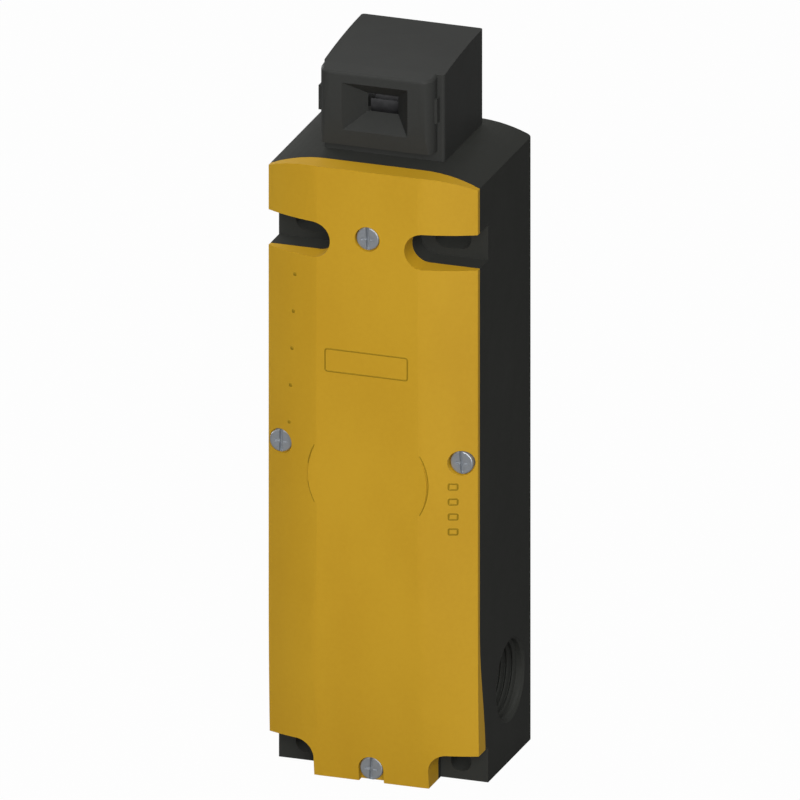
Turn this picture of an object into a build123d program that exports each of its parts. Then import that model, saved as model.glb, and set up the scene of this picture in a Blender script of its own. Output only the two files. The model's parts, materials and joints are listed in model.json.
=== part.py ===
from build123d import *
import os
from math import cos, radians, sin

# Tongue interlock switch. X is to the right, Y to the back, Z up, in millimetres.
# The origin is at the middle of the bottom. A "depth" is measured forward from the back plane.

# Body and cover
body_width = 54.0
body_height = 160.0
crown_drop = 3.0           # how far the top falls from the flat middle to the sides
flat_width = 25.6          # flat middle strip of the cover and of the top
housing_depth = 38.3       # back plane to the parting line
cover_depth = 6.2          # parting line to the flat middle of the cover
cover_edge = 1.6           # height of the cover's side edge above the parting line
cover_side_radius = 46.0   # curve of the cover on either side of the flat strip
cover_bend_height = 46.0   # below this height the cover's face curves back
cover_middle_fall = 3.3    # how far it has curved back at the bottom, in the middle
cover_side_fall = 1.2      # and at its sides
cover_wall = 2.4
cover_pocket_width = 36.0
cover_pocket_height = 80.0
cover_disc_radius = 15.3
cover_disc_height = 79.7
parting_bend_top = 42.0    # the parting line leans back between these two heights
parting_bend_low = 6.0
parting_setback = 4.3
parting_gap = 0.2
corner_radius = 1.2
wall = 5.3
floor_thickness = 3.0
bottom_thickness = 12.7
top_thickness = 27.3
gasket_width = 2.0
gasket_thickness = 1.5

# Lugs and their recesses
lug_thickness = 32.3
upper_lug_height = 140.8
recess_radius = 4.6
upper_recess_inner = 9.6   # where the upper recesses start, from the middle
lower_recess_inner = 14.8
lower_recess_top = 9.2
upper_hole_offset = 18.0
lower_hole_offset = 20.0
lower_hole_height = 4.7
mounting_hole_width = 5.3
mounting_slot_length = 9.3

# Cover screws
screw_head_radius = 2.8
screw_head_height = 2.0
screw_recess_radius = 3.2
screw_shank_radius = 1.5
screw_shank_length = 12.0
screw_slot_width = 0.8
screw_slot_depth = 0.9
screw_cross_length = 3.4
screw_sink = 0.4           # how far a head lies under the surface
top_screw_height = 142.5
side_screw_offset = 23.3
side_screw_height = 86.1
side_screw_surface = 1.9   # cover surface at the side screws, above its side edge
bottom_screw_height = 3.5
side_boss_radius = 4.2

# Cable entries, M20
entry_radius = 10.0
entry_depth = 15.9
entry_height = 20.9
entry_length = 8.0
entry_boss_wall = 2.5
entry_chamfer = 0.6
plug_length = 6.0
plug_slot_length = 13.9
plug_slot_width = 2.2
plug_slot_depth = 2.0
plug_groove = 1.2

# Head
head_width = 31.2
head_back_depth = 3.4
head_front_depth = 32.0
head_top = 184.8
head_crown_radius = 200.0
head_wall = 2.2
head_roof = 4.4
head_gap = 0.2
head_corner = 0.8
base_thickness = 1.6
spigot_radius = 8.5
spigot_length = 11.2
shoulder_thickness = 8.5
ring_thickness = 1.1
ring_outer_radius = 10.0
ring_groove = 0.85
tunnel_radius = 10.5
bush_radius = 4.55
seal_radius = 11.0
seal_section = 0.9

# Entry plate and tongue funnel
plate_offset = -0.9        # the plate and its funnel stand left of the head's middle
plate_width = 29.4
plate_thickness = 4.4
plate_bottom = 162.9
plate_corner = 3.2
plate_top_radius = 0.9
plate_lean_height = 170.0
plate_lean = 0.8
mouth_width = 17.0
mouth_bottom = 166.8
mouth_height = 12.6
slot_width = 7.8
slot_height = 4.6
slot_centre = 172.65
funnel_wall = 1.5
lug_bottom = 170.7
lug_height = 6.3
lug_rise = 0.6             # how far the lugs stand out beside the plate
lug_depth = 2.0

# Cam
cam_radius = 8.2
cam_height = 170.5
cam_width = 11.0
cam_turn = 65.0
cam_lead = 3.5             # how far the plunger rises over the cam's turn
cam_low_angle = 45.0       # the cam keeps its low radius over this angle, then rises again
cam_notch_angle = 28.0
cam_notch_radius = 2.4
cam_notch_sink = 1.7       # the notch's centre lies this far inside the rim
cam_notch_length = 7.7
axle_radius = 1.5
axle_seat = 1.2
running_clearance = 0.06

# Plunger and its contacts
rod_radius = 3.0
rod_tip_radius = 0.6
rod_tip_height = 2.16
tip_gap = 0.5
collar_radius = 5.6
collar_height = 1.5
collar_bottom = 143.5
seat_thickness = 1.5
spring_wire = 0.45
carrier_bottom = 123.0
carrier_height = 4.0
carrier_depth = 7.0
hub_radius = 5.2
leg_size = 3.0
bridge_length = 8.4
bridge_width = 5.0
bridge_thickness = 1.2
bridge_bottom = 104.0
lock_groove_height = 92.0
lock_groove_width = 2.4
lock_groove_radius = 1.4
rod_end_land = 1.3

# Contact blocks
block_inner = 5.0
block_side_gap = 0.7       # block to the housing's side wall
block_depth = 23.4
block_bottom = 95.5
block_height = 25.5
chamber_width = 10.2
chamber_depth = 11.4
chamber_floor = 4.5
ledge_depth = 6.0
strip_width = 2.8
strip_thickness = 1.0
contact_gap = 0.3
terminal_head_radius = 2.3
terminal_head_height = 1.8
terminal_shank_radius = 1.4
terminal_shank_length = 7.0

# Mounting plate
sheet_thickness = 1.5
sheet_width = 33.0
sheet_bottom = 31.0
sheet_height = 93.0
sheet_screw_radius = 1.2
sheet_screw_head = 2.4
sheet_screw_head_height = 1.2
sheet_screw_depth = 2.2
sheet_screw_inset = 3.2
sheet_clearance = 0.4

# Solenoid and lock lever
solenoid_depth = 13.4
yoke_width = 28.0
yoke_half_depth = 8.6
yoke_bottom = 40.5
yoke_height = 38.0
yoke_sheet = 2.5
bobbin_wall = 0.8
bobbin_flange = 1.5
bobbin_radius = 8.4
coil_radius = 8.0
armature_radius = 4.2
core_height = 9.5
core_bore_radius = 2.2
core_bore_depth = 8.0
armature_stroke = 2.2
armature_rest_gap = 0.6
stem_radius = 1.5
stem_cap_radius = 2.6
stem_cap_height = 1.2
fork_clearance = 0.9
lever_turn = 14.0
lever_height = 82.5        # height of the lever's pivot
lever_width = 4.0
lever_thickness = 2.0
lever_nose_reach = 9.8     # pivot to the nose's line
lever_nose_gap = 1.0
lever_arm_offset = 1.6     # the upright arm stands this far in front of the pivot
lever_nose_thickness = 1.0
pin_radius = 1.0
bracket_wall = 1.2
bracket_gap = 0.3

# Coil terminals and earth screw
coil_strip_width = 18.0
coil_strip_depth = 9.0
coil_strip_height = 7.0
coil_terminal_offset = 4.6
earth_height = 24.0
earth_head_radius = 3.6
earth_head_height = 2.6
earth_shank_radius = 1.9
earth_offset = 12.0

seating = 0.1              # clearance of pieces that seat in each other

half_width = body_width / 2
flat_half = flat_width / 2
total_depth = housing_depth + cover_depth
edge_depth = housing_depth + cover_edge
back = total_depth / 2
overrun = 2.0              # how far a cutting shape runs past what it cuts


def at_depth(depth):
    """Y of a plane that lies this far in front of the back plane."""
    return back - depth


def front_plane(depth):
    """A sketch plane that faces forward at this depth: its y is Z."""
    return Plane.XZ.offset(depth - back)


def level(height):
    """A horizontal sketch plane at this height."""
    return Plane.XY.offset(height)


def body_outline():
    """Front view of the body: straight sides and a top that is flat between two falling arcs."""
    with BuildSketch(front_plane(0)) as outline:
        with BuildLine():
            shoulder = body_height - crown_drop
            Polyline((half_width, shoulder), (half_width, 0), (-half_width, 0), (-half_width, shoulder))
            Line((-flat_half, body_height), (flat_half, body_height))
            TangentArc((flat_half, body_height), (half_width, shoulder), tangent=(1, 0))
            TangentArc((-flat_half, body_height), (-half_width, shoulder), tangent=(-1, 0))
        make_face()
    return outline.sketch


def behind_parting(shift):
    """Side view of all that lies behind the parting line, moved forward by a shift."""
    high = at_depth(housing_depth + shift)
    low = at_depth(housing_depth - parting_setback + shift)
    middle = ((high + low) / 2, (parting_bend_top + parting_bend_low) / 2)
    with BuildSketch(Plane.YZ) as region:
        with BuildLine():
            Line((high, body_height + overrun), (high, parting_bend_top))
            Spline(
                (high, parting_bend_top), middle, (low, parting_bend_low),
                tangents=((0, -1), (0, -1)),
            )
            Polyline(
                (low, parting_bend_low), (low, -overrun), (back + overrun, -overrun),
                (back + overrun, body_height + overrun), (high, body_height + overrun),
            )
        make_face()
    return region.sketch


def lug_recesses():
    """Front view of the four recesses over the mounting lugs."""
    slot_length = half_width + overrun - upper_recess_inner - recess_radius
    notch_width = half_width + overrun - lower_recess_inner
    notch_height = lower_recess_top + overrun
    with BuildSketch(front_plane(0)) as recesses:
        for side in (-1, 1):
            inner = upper_recess_inner + recess_radius
            with Locations((side * inner, upper_lug_height)):
                Circle(recess_radius)
            with Locations((side * (inner + slot_length / 2), upper_lug_height)):
                Rectangle(slot_length, 2 * recess_radius)
            corner_x = lower_recess_inner + recess_radius
            corner_z = lower_recess_top - recess_radius
            with Locations((side * corner_x, corner_z)):
                Circle(recess_radius)
            with Locations((side * (corner_x + notch_width / 2), lower_recess_top - notch_height / 2)):
                Rectangle(notch_width, notch_height)
            low_centre = lower_recess_inner + notch_width / 2
            with Locations((side * low_centre, (corner_z - overrun) / 2)):
                Rectangle(notch_width, corner_z + overrun)
    return recesses.sketch


def rim_outline(inset):
    """Front view of the space inside the rim, drawn in by an inset, clear of the side screws' bosses."""
    low = bottom_thickness - gasket_width + inset
    high = body_height - top_thickness + gasket_width - inset
    with BuildSketch(front_plane(0)) as outline:
        with Locations((0, (low + high) / 2)):
            RectangleRounded(2 * (half_width - wall + gasket_width - inset), high - low, 1 + inset / 2)
        with Locations((side_screw_offset, side_screw_height), (-side_screw_offset, side_screw_height)):
            Circle(side_boss_radius + inset, mode=Mode.SUBTRACT)
    return outline.sketch


def cover_section(height):
    """Plan section of the cover: flat in the middle, an arc down to each side edge."""
    bend = max(0, 1 - height / cover_bend_height)
    front = at_depth(total_depth - cover_middle_fall * bend ** 2)
    edge = at_depth(edge_depth - cover_side_fall * bend ** 2)
    rear = at_depth(housing_depth - parting_setback - overrun)
    with BuildSketch(level(height)) as section:
        with BuildLine():
            Line((-flat_half, front), (flat_half, front))
            RadiusArc((half_width, edge), (flat_half, front), cover_side_radius)
            RadiusArc((-half_width, edge), (-flat_half, front), -cover_side_radius)
            Polyline((half_width, edge), (half_width, rear), (-half_width, rear), (-half_width, edge))
        make_face()
    return section.sketch


screw_places = (
    (0, top_screw_height, total_depth - screw_sink),
    (side_screw_offset, side_screw_height, edge_depth + side_screw_surface - screw_sink),
    (-side_screw_offset, side_screw_height, edge_depth + side_screw_surface - screw_sink),
    (0, bottom_screw_height, edge_depth + side_screw_surface - screw_sink),
)
axis_depth = (head_back_depth + head_front_depth) / 2
head_axis = (0, at_depth(axis_depth))
cavity_half = half_width - wall
cavity_top = body_height - top_thickness
block_width = cavity_half - block_side_gap - block_inner
sheet_front = floor_thickness + sheet_thickness
sheet_middle = sheet_bottom + sheet_height / 2
sheet_screw_span = (sheet_width - 2 * sheet_screw_inset, sheet_height - 2 * sheet_screw_inset)
os.makedirs("parts", exist_ok=True)

# Housing
with BuildPart() as housing:
    with BuildSketch(level(0)):
        RectangleRounded(body_width, total_depth, corner_radius)
    extrude(amount=body_height)
    extrude(body_outline(), amount=total_depth, mode=Mode.INTERSECT)
    extrude(behind_parting(0), amount=half_width, both=True, mode=Mode.INTERSECT)
    extrude(lug_recesses().moved(Location((0, -lug_thickness, 0))), amount=total_depth, mode=Mode.SUBTRACT)
    # Wiring space, then the seat of the gasket around it
    extrude(rim_outline(gasket_width).moved(Location((0, -floor_thickness, 0))), amount=total_depth,
            mode=Mode.SUBTRACT)
    # Room for the mounting plate and the heads of its screws
    room = (sheet_width + 2 * sheet_clearance, sheet_height + 2 * sheet_clearance)
    with BuildSketch(front_plane(floor_thickness)):
        with Locations((0, sheet_middle)):
            RectangleRounded(*room, corner_radius)
    extrude(amount=sheet_thickness + sheet_screw_head_height + sheet_clearance, mode=Mode.SUBTRACT)
    # Bosses around the side cable entries
    for side in (-1, 1):
        with BuildSketch(Plane.YZ.offset(side * (half_width - entry_length))):
            with Locations((at_depth(entry_depth), entry_height)):
                Circle(entry_radius + entry_boss_wall)
        extrude(amount=side * (entry_length - seating))
    for side in (-1, 1):
        with BuildSketch(Plane.YZ.offset(side * (half_width - entry_length))):
            with Locations((at_depth(entry_depth), entry_height)):
                Circle(entry_radius)
        extrude(amount=side * entry_length, mode=Mode.SUBTRACT)
    with BuildSketch(level(0)):
        with Locations((0, at_depth(entry_depth))):
            Circle(entry_radius)
    extrude(amount=bottom_thickness, mode=Mode.SUBTRACT)
    mouths = housing.edges().filter_by(GeomType.CIRCLE)
    mouths = mouths.filter_by(lambda edge: abs(edge.radius - entry_radius) < 0.01)
    outer = [edge for edge in mouths
             if abs(abs(edge.arc_center.X) - half_width) < 0.01 or abs(edge.arc_center.Z) < 0.01]
    chamfer(outer, length=entry_chamfer)
    # Lug holes
    with BuildSketch(front_plane(0)):
        with Locations((lower_hole_offset, lower_hole_height), (-lower_hole_offset, lower_hole_height)):
            Circle(mounting_hole_width / 2)
        with Locations((upper_hole_offset, upper_lug_height), (-upper_hole_offset, upper_lug_height)):
            SlotOverall(mounting_slot_length, mounting_hole_width)
    extrude(amount=lug_thickness, mode=Mode.SUBTRACT)
    # Turret bore for the head, wider below its shoulder
    with BuildSketch(level(cavity_top)):
        with Locations(head_axis):
            Circle(tunnel_radius)
    extrude(amount=top_thickness - shoulder_thickness, mode=Mode.SUBTRACT)
    with BuildSketch(level(body_height)):
        with Locations(head_axis):
            Circle(spigot_radius + running_clearance)
    extrude(amount=-shoulder_thickness, mode=Mode.SUBTRACT)
    with BuildSketch(level(body_height)):
        with Locations(head_axis):
            Circle(seal_radius + seal_section)
            Circle(seal_radius - seal_section, mode=Mode.SUBTRACT)
    extrude(amount=-2 * seal_section, mode=Mode.SUBTRACT)
    # Threaded holes of the cover screws
    for x, z, top in screw_places:
        with BuildSketch(front_plane(top - screw_head_height - screw_shank_length - seating)):
            with Locations((x, z)):
                Circle(screw_shank_radius + seating / 2)
        extrude(amount=total_depth, mode=Mode.SUBTRACT)
    # Holes of the mounting plate's screws and of the earth screw, in the floor
    with BuildSketch(front_plane(floor_thickness)):
        with Locations((0, sheet_middle)):
            with GridLocations(*sheet_screw_span, 2, 2):
                Circle(sheet_screw_radius + seating / 2)
        with Locations((earth_offset, earth_height)):
            Circle(earth_shank_radius + seating / 2)
    extrude(amount=-sheet_screw_depth, mode=Mode.SUBTRACT)
    # Seat of the gasket on the rim
    seat_ring = extrude(rim_outline(0), amount=total_depth, mode=Mode.PRIVATE)
    below_seat = extrude(behind_parting(-gasket_thickness), amount=half_width, both=True, mode=Mode.PRIVATE)
    add(seat_ring - below_seat, mode=Mode.SUBTRACT)
housing.part.label = "housing"
export_step(housing.part, "parts/housing.step")

# Gasket
with BuildPart() as cover_gasket:
    extrude(rim_outline(seating), amount=total_depth)
    extrude(rim_outline(gasket_width - seating), amount=total_depth, mode=Mode.SUBTRACT)
    extrude(behind_parting(0), amount=half_width, both=True, mode=Mode.INTERSECT)
    extrude(behind_parting(-gasket_thickness), amount=half_width, both=True, mode=Mode.SUBTRACT)
cover_gasket.part.label = "cover_gasket"
export_step(cover_gasket.part, "parts/cover_gasket.step")

# Cover
with BuildPart() as cover:
    bend_steps = 4
    for step in range(bend_steps + 1):
        add(cover_section(cover_bend_height * step / bend_steps))
    loft()
    extrude(cover_section(cover_bend_height), amount=body_height - cover_bend_height)
    extrude(body_outline(), amount=total_depth, mode=Mode.INTERSECT)
    with BuildSketch(front_plane(housing_depth)):
        with Locations((0, cover_disc_height)):
            Circle(cover_disc_radius)
    extrude(amount=cover_depth)
    extrude(behind_parting(parting_gap), amount=half_width, both=True, mode=Mode.SUBTRACT)
    extrude(lug_recesses(), amount=total_depth + overrun, mode=Mode.SUBTRACT)
    # Hollow inside, following the face at one wall thickness
    pocket_half = cover_pocket_width / 2
    pocket_top = side_screw_height + cover_pocket_height / 2
    pocket_front = at_depth(total_depth - cover_wall)
    pocket_side = at_depth(edge_depth + cover_wall / 2)
    with BuildSketch(level(cover_bend_height)):
        with BuildLine():
            Polyline(
                (-pocket_half, at_depth(housing_depth)), (-pocket_half, pocket_side),
                (-flat_half, pocket_front), (flat_half, pocket_front),
                (pocket_half, pocket_side), (pocket_half, at_depth(housing_depth)),
                close=True,
            )
        make_face()
    extrude(amount=pocket_top - cover_bend_height, mode=Mode.SUBTRACT)
    with BuildSketch(front_plane(housing_depth - parting_setback - overrun)):
        with Locations((0, (lower_recess_top + recess_radius + cover_bend_height) / 2)):
            Rectangle(cover_pocket_width, cover_bend_height - lower_recess_top - recess_radius)
    extrude(amount=parting_setback + overrun + cover_edge, mode=Mode.SUBTRACT)
    # Screw holes with a recess for each head; the bottom one is open downwards
    for x, z, top in screw_places:
        with BuildSketch(front_plane(0)):
            with Locations((x, z)):
                Circle(screw_shank_radius + seating / 2)
        extrude(amount=total_depth, mode=Mode.SUBTRACT)
        with BuildSketch(front_plane(top - screw_head_height)):
            with Locations((x, z)):
                Circle(screw_recess_radius)
        extrude(amount=total_depth, mode=Mode.SUBTRACT)
    with BuildSketch(front_plane(screw_places[-1][2] - screw_head_height)):
        with Locations((0, (bottom_screw_height - overrun) / 2)):
            Rectangle(2 * screw_recess_radius, bottom_screw_height + overrun)
    extrude(amount=total_depth, mode=Mode.SUBTRACT)
cover.part.label = "cover"
export_step(cover.part, "parts/cover.step")

# Cover screws
with BuildPart() as cover_screws:
    for x, z, top in screw_places:
        with BuildSketch(front_plane(top - screw_head_height)):
            with Locations((x, z)):
                Circle(screw_head_radius)
        extrude(amount=screw_head_height)
        with BuildSketch(front_plane(top - screw_head_height)):
            with Locations((x, z)):
                Circle(screw_shank_radius)
        extrude(amount=-screw_shank_length)
        with BuildSketch(front_plane(top)):
            with Locations((x, z)):
                Rectangle(screw_slot_width, 2 * screw_head_radius + overrun)
                Rectangle(screw_cross_length, screw_slot_width)
        extrude(amount=-screw_slot_depth, mode=Mode.SUBTRACT)
cover_screws.part.label = "cover_screws"
export_step(cover_screws.part, "parts/cover_screws.step")


def blanking_plug(plane):
    """Flush screw plug for a cable entry, with a driver slot outside and a groove for its seal."""
    radius = entry_radius - seating
    with BuildPart() as plug:
        with BuildSketch(plane):
            Circle(radius)
        extrude(amount=-plug_length)
        with BuildSketch(plane):
            Rectangle(plug_slot_length, plug_slot_width)
        extrude(amount=-plug_slot_depth, mode=Mode.SUBTRACT)
        with BuildSketch(plane.offset(-plug_length / 2)):
            Circle(radius + overrun)
            Circle(radius - plug_groove, mode=Mode.SUBTRACT)
        extrude(amount=plug_groove / 2, both=True, mode=Mode.SUBTRACT)
    return plug.part


left_origin = (-half_width, at_depth(entry_depth), entry_height)
left_mouth = Plane(origin=left_origin, x_dir=(0, -1, 0), z_dir=(-1, 0, 0))
bottom_mouth = Plane(origin=(0, at_depth(entry_depth), 0), x_dir=(1, 0, 0), z_dir=(0, 0, -1))
plug_planes = {"left": left_mouth.offset(-entry_chamfer), "bottom": bottom_mouth.offset(-entry_chamfer)}
for place, plane in plug_planes.items():
    plug = blanking_plug(plane)
    plug.label = f"blanking_plug_{place}"
    export_step(plug, f"parts/blanking_plug_{place}.step")

# Seals in the plugs' grooves
with BuildPart() as plug_seals:
    for plane in plug_planes.values():
        with BuildSketch(plane.offset(-plug_length / 2)):
            Circle(entry_radius - seating / 2)
            Circle(entry_radius - plug_groove, mode=Mode.SUBTRACT)
        extrude(amount=plug_groove / 2 - seating, both=True)
plug_seals.part.label = "plug_seals"
export_step(plug_seals.part, "parts/plug_seals.step")

# Mounting plate on the housing's floor
with BuildPart() as mounting_plate:
    with BuildSketch(front_plane(floor_thickness)):
        with Locations((0, sheet_middle)):
            RectangleRounded(sheet_width, sheet_height, corner_radius)
            with GridLocations(*sheet_screw_span, 2, 2):
                Circle(sheet_screw_radius + seating / 2, mode=Mode.SUBTRACT)
    extrude(amount=sheet_thickness)
mounting_plate.part.label = "mounting_plate"
export_step(mounting_plate.part, "parts/mounting_plate.step")

with BuildPart() as plate_screws:
    with BuildSketch(front_plane(sheet_front)):
        with Locations((0, sheet_middle)):
            with GridLocations(*sheet_screw_span, 2, 2):
                Circle(sheet_screw_head)
    extrude(amount=sheet_screw_head_height)
    with BuildSketch(front_plane(sheet_front)):
        with Locations((0, sheet_middle)):
            with GridLocations(*sheet_screw_span, 2, 2):
                Circle(sheet_screw_radius)
    extrude(amount=-sheet_thickness - sheet_screw_depth + seating)
plate_screws.part.label = "plate_screws"
export_step(plate_screws.part, "parts/plate_screws.step")

# Contact blocks: the plunger's legs reach down into a chamber that is open at the top
block_top = block_bottom + block_height
block_back = sheet_front + seating
block_middle = block_inner + block_width / 2
strip_height = bridge_bottom + bridge_thickness + cam_lead + contact_gap
strip_offset = (chamber_width - strip_width) / 2 - contact_gap
strip_top = strip_height + strip_thickness
block_front = block_back + block_depth
ledge_middle = block_front + ledge_depth / 2
strip_back_depth = axis_depth - bridge_width / 2
screw_clear = sheet_screw_head + seating


def contact_block(side):
    """Moulded contact block on one side of the plunger, with a terminal ledge at its front."""
    with BuildPart() as block:
        with BuildSketch(front_plane(block_back)):
            with Locations((side * block_middle, block_bottom + block_height / 2)):
                Rectangle(block_width, block_height)
        extrude(amount=block_depth)
        with BuildSketch(front_plane(block_front)):
            with Locations((side * block_middle, (block_bottom + strip_height) / 2)):
                Rectangle(block_width, strip_height - block_bottom)
        extrude(amount=ledge_depth)
        with BuildSketch(level(block_top)):
            with Locations((side * block_middle, at_depth(axis_depth))):
                Rectangle(chamber_width, chamber_depth)
        extrude(amount=-block_height + chamber_floor, mode=Mode.SUBTRACT)
        for place in (-strip_offset, strip_offset):
            with BuildSketch(front_plane(axis_depth)):
                with Locations((side * block_middle + place, strip_height + strip_thickness / 2)):
                    Rectangle(strip_width + seating, strip_thickness + seating)
            extrude(amount=block_front - axis_depth + ledge_depth, mode=Mode.SUBTRACT)
            with BuildSketch(level(strip_height)):
                with Locations((side * block_middle + place, at_depth(ledge_middle))):
                    Circle(terminal_shank_radius + seating / 2)
            extrude(amount=-terminal_shank_length - seating, mode=Mode.SUBTRACT)
        with BuildSketch(front_plane(block_back)):
            with Locations((side * sheet_screw_span[0] / 2, sheet_middle + sheet_screw_span[1] / 2)):
                Circle(screw_clear)
        extrude(amount=sheet_screw_head_height + seating, mode=Mode.SUBTRACT)
    return block.part


for name, side in (("left", -1), ("right", 1)):
    block = contact_block(side)
    block.label = f"contact_block_{name}"
    export_step(block, f"parts/contact_block_{name}.step")

with BuildPart() as fixed_contacts:
    for side in (-1, 1):
        for place in (-strip_offset, strip_offset):
            middle = side * block_middle + place
            with BuildSketch(front_plane(strip_back_depth)):
                with Locations((middle, strip_height + strip_thickness / 2)):
                    Rectangle(strip_width, strip_thickness)
            extrude(amount=block_front + ledge_depth - strip_back_depth)
            with BuildSketch(level(strip_top)):
                with Locations((middle, at_depth(ledge_middle))):
                    Circle(terminal_shank_radius - seating)
            extrude(amount=-strip_thickness, mode=Mode.SUBTRACT)
fixed_contacts.part.label = "fixed_contacts"
export_step(fixed_contacts.part, "parts/fixed_contacts.step")

# Terminal strip of the coil, on the mounting plate under the solenoid
coil_strip_top = yoke_bottom - seating
coil_strip_middle = coil_strip_top - coil_strip_height / 2
coil_screw_depth = sheet_front + coil_strip_depth
with BuildPart() as coil_terminal_block:
    with BuildSketch(front_plane(sheet_front)):
        with Locations((0, coil_strip_middle)):
            Rectangle(coil_strip_width, coil_strip_height)
    extrude(amount=coil_strip_depth)
    with BuildSketch(front_plane(coil_screw_depth)):
        with Locations((0, coil_strip_middle)):
            with GridLocations(2 * coil_terminal_offset, 1, 2, 1):
                Circle(terminal_shank_radius + seating / 2)
    extrude(amount=-terminal_shank_length - seating, mode=Mode.SUBTRACT)
coil_terminal_block.part.label = "coil_terminal_block"
export_step(coil_terminal_block.part, "parts/coil_terminal_block.step")

# Terminal screws of the contacts and of the coil
terminal_planes = []
for side in (-1, 1):
    for place in (-strip_offset, strip_offset):
        middle = (side * block_middle + place, at_depth(ledge_middle), strip_top)
        terminal_planes.append((Plane(origin=middle), strip_thickness))
    middle = (side * coil_terminal_offset, at_depth(coil_screw_depth), coil_strip_middle)
    terminal_planes.append((Plane(origin=middle, x_dir=(1, 0, 0), z_dir=(0, -1, 0)), 0))
with BuildPart() as terminal_screws:
    for plane, sheet in terminal_planes:
        with BuildSketch(plane):
            Circle(terminal_head_radius)
        extrude(amount=terminal_head_height)
        with BuildSketch(plane.offset(terminal_head_height)):
            Rectangle(2 * terminal_head_radius + overrun, screw_slot_width)
        extrude(amount=-screw_slot_depth, mode=Mode.SUBTRACT)
        with BuildSketch(plane):
            Circle(terminal_shank_radius - 2 * seating)
        extrude(amount=-sheet - terminal_shank_length)
terminal_screws.part.label = "terminal_screws"
export_step(terminal_screws.part, "parts/terminal_screws.step")

with BuildPart() as earth_screw:
    with BuildSketch(front_plane(floor_thickness)):
        with Locations((earth_offset, earth_height)):
            Circle(earth_head_radius)
    extrude(amount=earth_head_height)
    with BuildSketch(front_plane(floor_thickness + earth_head_height)):
        with Locations((earth_offset, earth_height)):
            Rectangle(2 * earth_head_radius + overrun, screw_slot_width)
    extrude(amount=-screw_slot_depth, mode=Mode.SUBTRACT)
    with BuildSketch(front_plane(floor_thickness)):
        with Locations((earth_offset, earth_height)):
            Circle(earth_shank_radius)
    extrude(amount=-sheet_screw_depth + seating)
earth_screw.part.label = "earth_screw"
export_step(earth_screw.part, "parts/earth_screw.step")

# Solenoid: a frame that is open at front and back, a wound bobbin, a fixed core and a moving armature
yoke_top = yoke_bottom + yoke_height
solenoid_axis = (0, at_depth(solenoid_depth))
bore_radius = armature_radius + 2 * running_clearance
with BuildPart() as solenoid_yoke:
    with BuildSketch(front_plane(solenoid_depth - yoke_half_depth)):
        with Locations((0, yoke_bottom + yoke_height / 2)):
            Rectangle(yoke_width, yoke_height)
            Rectangle(yoke_width - 2 * yoke_sheet, yoke_height - 2 * yoke_sheet, mode=Mode.SUBTRACT)
    extrude(amount=2 * yoke_half_depth)
    with BuildSketch(level(yoke_top)):
        with Locations(solenoid_axis):
            Circle(bore_radius)
    extrude(amount=-yoke_sheet, mode=Mode.SUBTRACT)
solenoid_yoke.part.label = "solenoid_yoke"
export_step(solenoid_yoke.part, "parts/solenoid_yoke.step")

bobbin_bottom = yoke_bottom + yoke_sheet
bobbin_height = yoke_height - 2 * yoke_sheet
with BuildPart() as solenoid_bobbin:
    with BuildSketch(level(bobbin_bottom)):
        with Locations(solenoid_axis):
            Circle(bobbin_radius)
    extrude(amount=bobbin_flange)
    with BuildSketch(level(bobbin_bottom + bobbin_height)):
        with Locations(solenoid_axis):
            Circle(bobbin_radius)
    extrude(amount=-bobbin_flange)
    with BuildSketch(level(bobbin_bottom)):
        with Locations(solenoid_axis):
            Circle(bore_radius + bobbin_wall)
    extrude(amount=bobbin_height)
    with BuildSketch(level(bobbin_bottom)):
        with Locations(solenoid_axis):
            Circle(bore_radius)
    extrude(amount=bobbin_height, mode=Mode.SUBTRACT)
solenoid_bobbin.part.label = "solenoid_bobbin"
export_step(solenoid_bobbin.part, "parts/solenoid_bobbin.step")

with BuildPart() as solenoid_coil:
    with BuildSketch(level(bobbin_bottom + bobbin_flange)):
        with Locations(solenoid_axis):
            Circle(coil_radius)
            Circle(bore_radius + bobbin_wall, mode=Mode.SUBTRACT)
    extrude(amount=bobbin_height - 2 * bobbin_flange)
solenoid_coil.part.label = "solenoid_coil"
export_step(solenoid_coil.part, "parts/solenoid_coil.step")

core_top = bobbin_bottom + core_height
with BuildPart() as pole_core:
    with BuildSketch(level(bobbin_bottom)):
        with Locations(solenoid_axis):
            Circle(armature_radius)
    extrude(amount=core_height)
    with BuildSketch(level(core_top)):
        with Locations(solenoid_axis):
            Circle(core_bore_radius)
    extrude(amount=-core_bore_depth, mode=Mode.SUBTRACT)
pole_core.part.label = "pole_core"
export_step(pole_core.part, "parts/pole_core.step")

armature_bottom = core_top + armature_stroke + armature_rest_gap
fork_low = lever_height - lever_thickness / 2
neck_low = fork_low - fork_clearance
neck_high = fork_low + lever_thickness + fork_clearance
with BuildPart() as armature:
    with BuildSketch(level(armature_bottom)):
        with Locations(solenoid_axis):
            Circle(armature_radius)
    extrude(amount=neck_low - armature_bottom)
    with BuildSketch(level(neck_low)):
        with Locations(solenoid_axis):
            Circle(stem_radius)
    extrude(amount=neck_high - neck_low)
    with BuildSketch(level(neck_high)):
        with Locations(solenoid_axis):
            Circle(stem_cap_radius)
    extrude(amount=stem_cap_height)
armature.part.label = "armature"
export_step(armature.part, "parts/armature.step")


def coil_spring(axis, bottom, top, radius, turns):
    """Round wire wound on a helix between two heights, with its centre line at a radius."""
    length = top - bottom - 2 * spring_wire
    start = Vector(axis[0] + radius, axis[1], bottom + spring_wire)
    with BuildPart() as spring:
        with BuildLine() as wind:
            Helix(length / turns, length, radius, center=(axis[0], axis[1], bottom + spring_wire))
        with BuildSketch(Plane(origin=start, z_dir=wind.line @ 0.001 - wind.line @ 0)):
            Circle(spring_wire)
        sweep(path=wind.line, is_frenet=True)
    return spring.part


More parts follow.
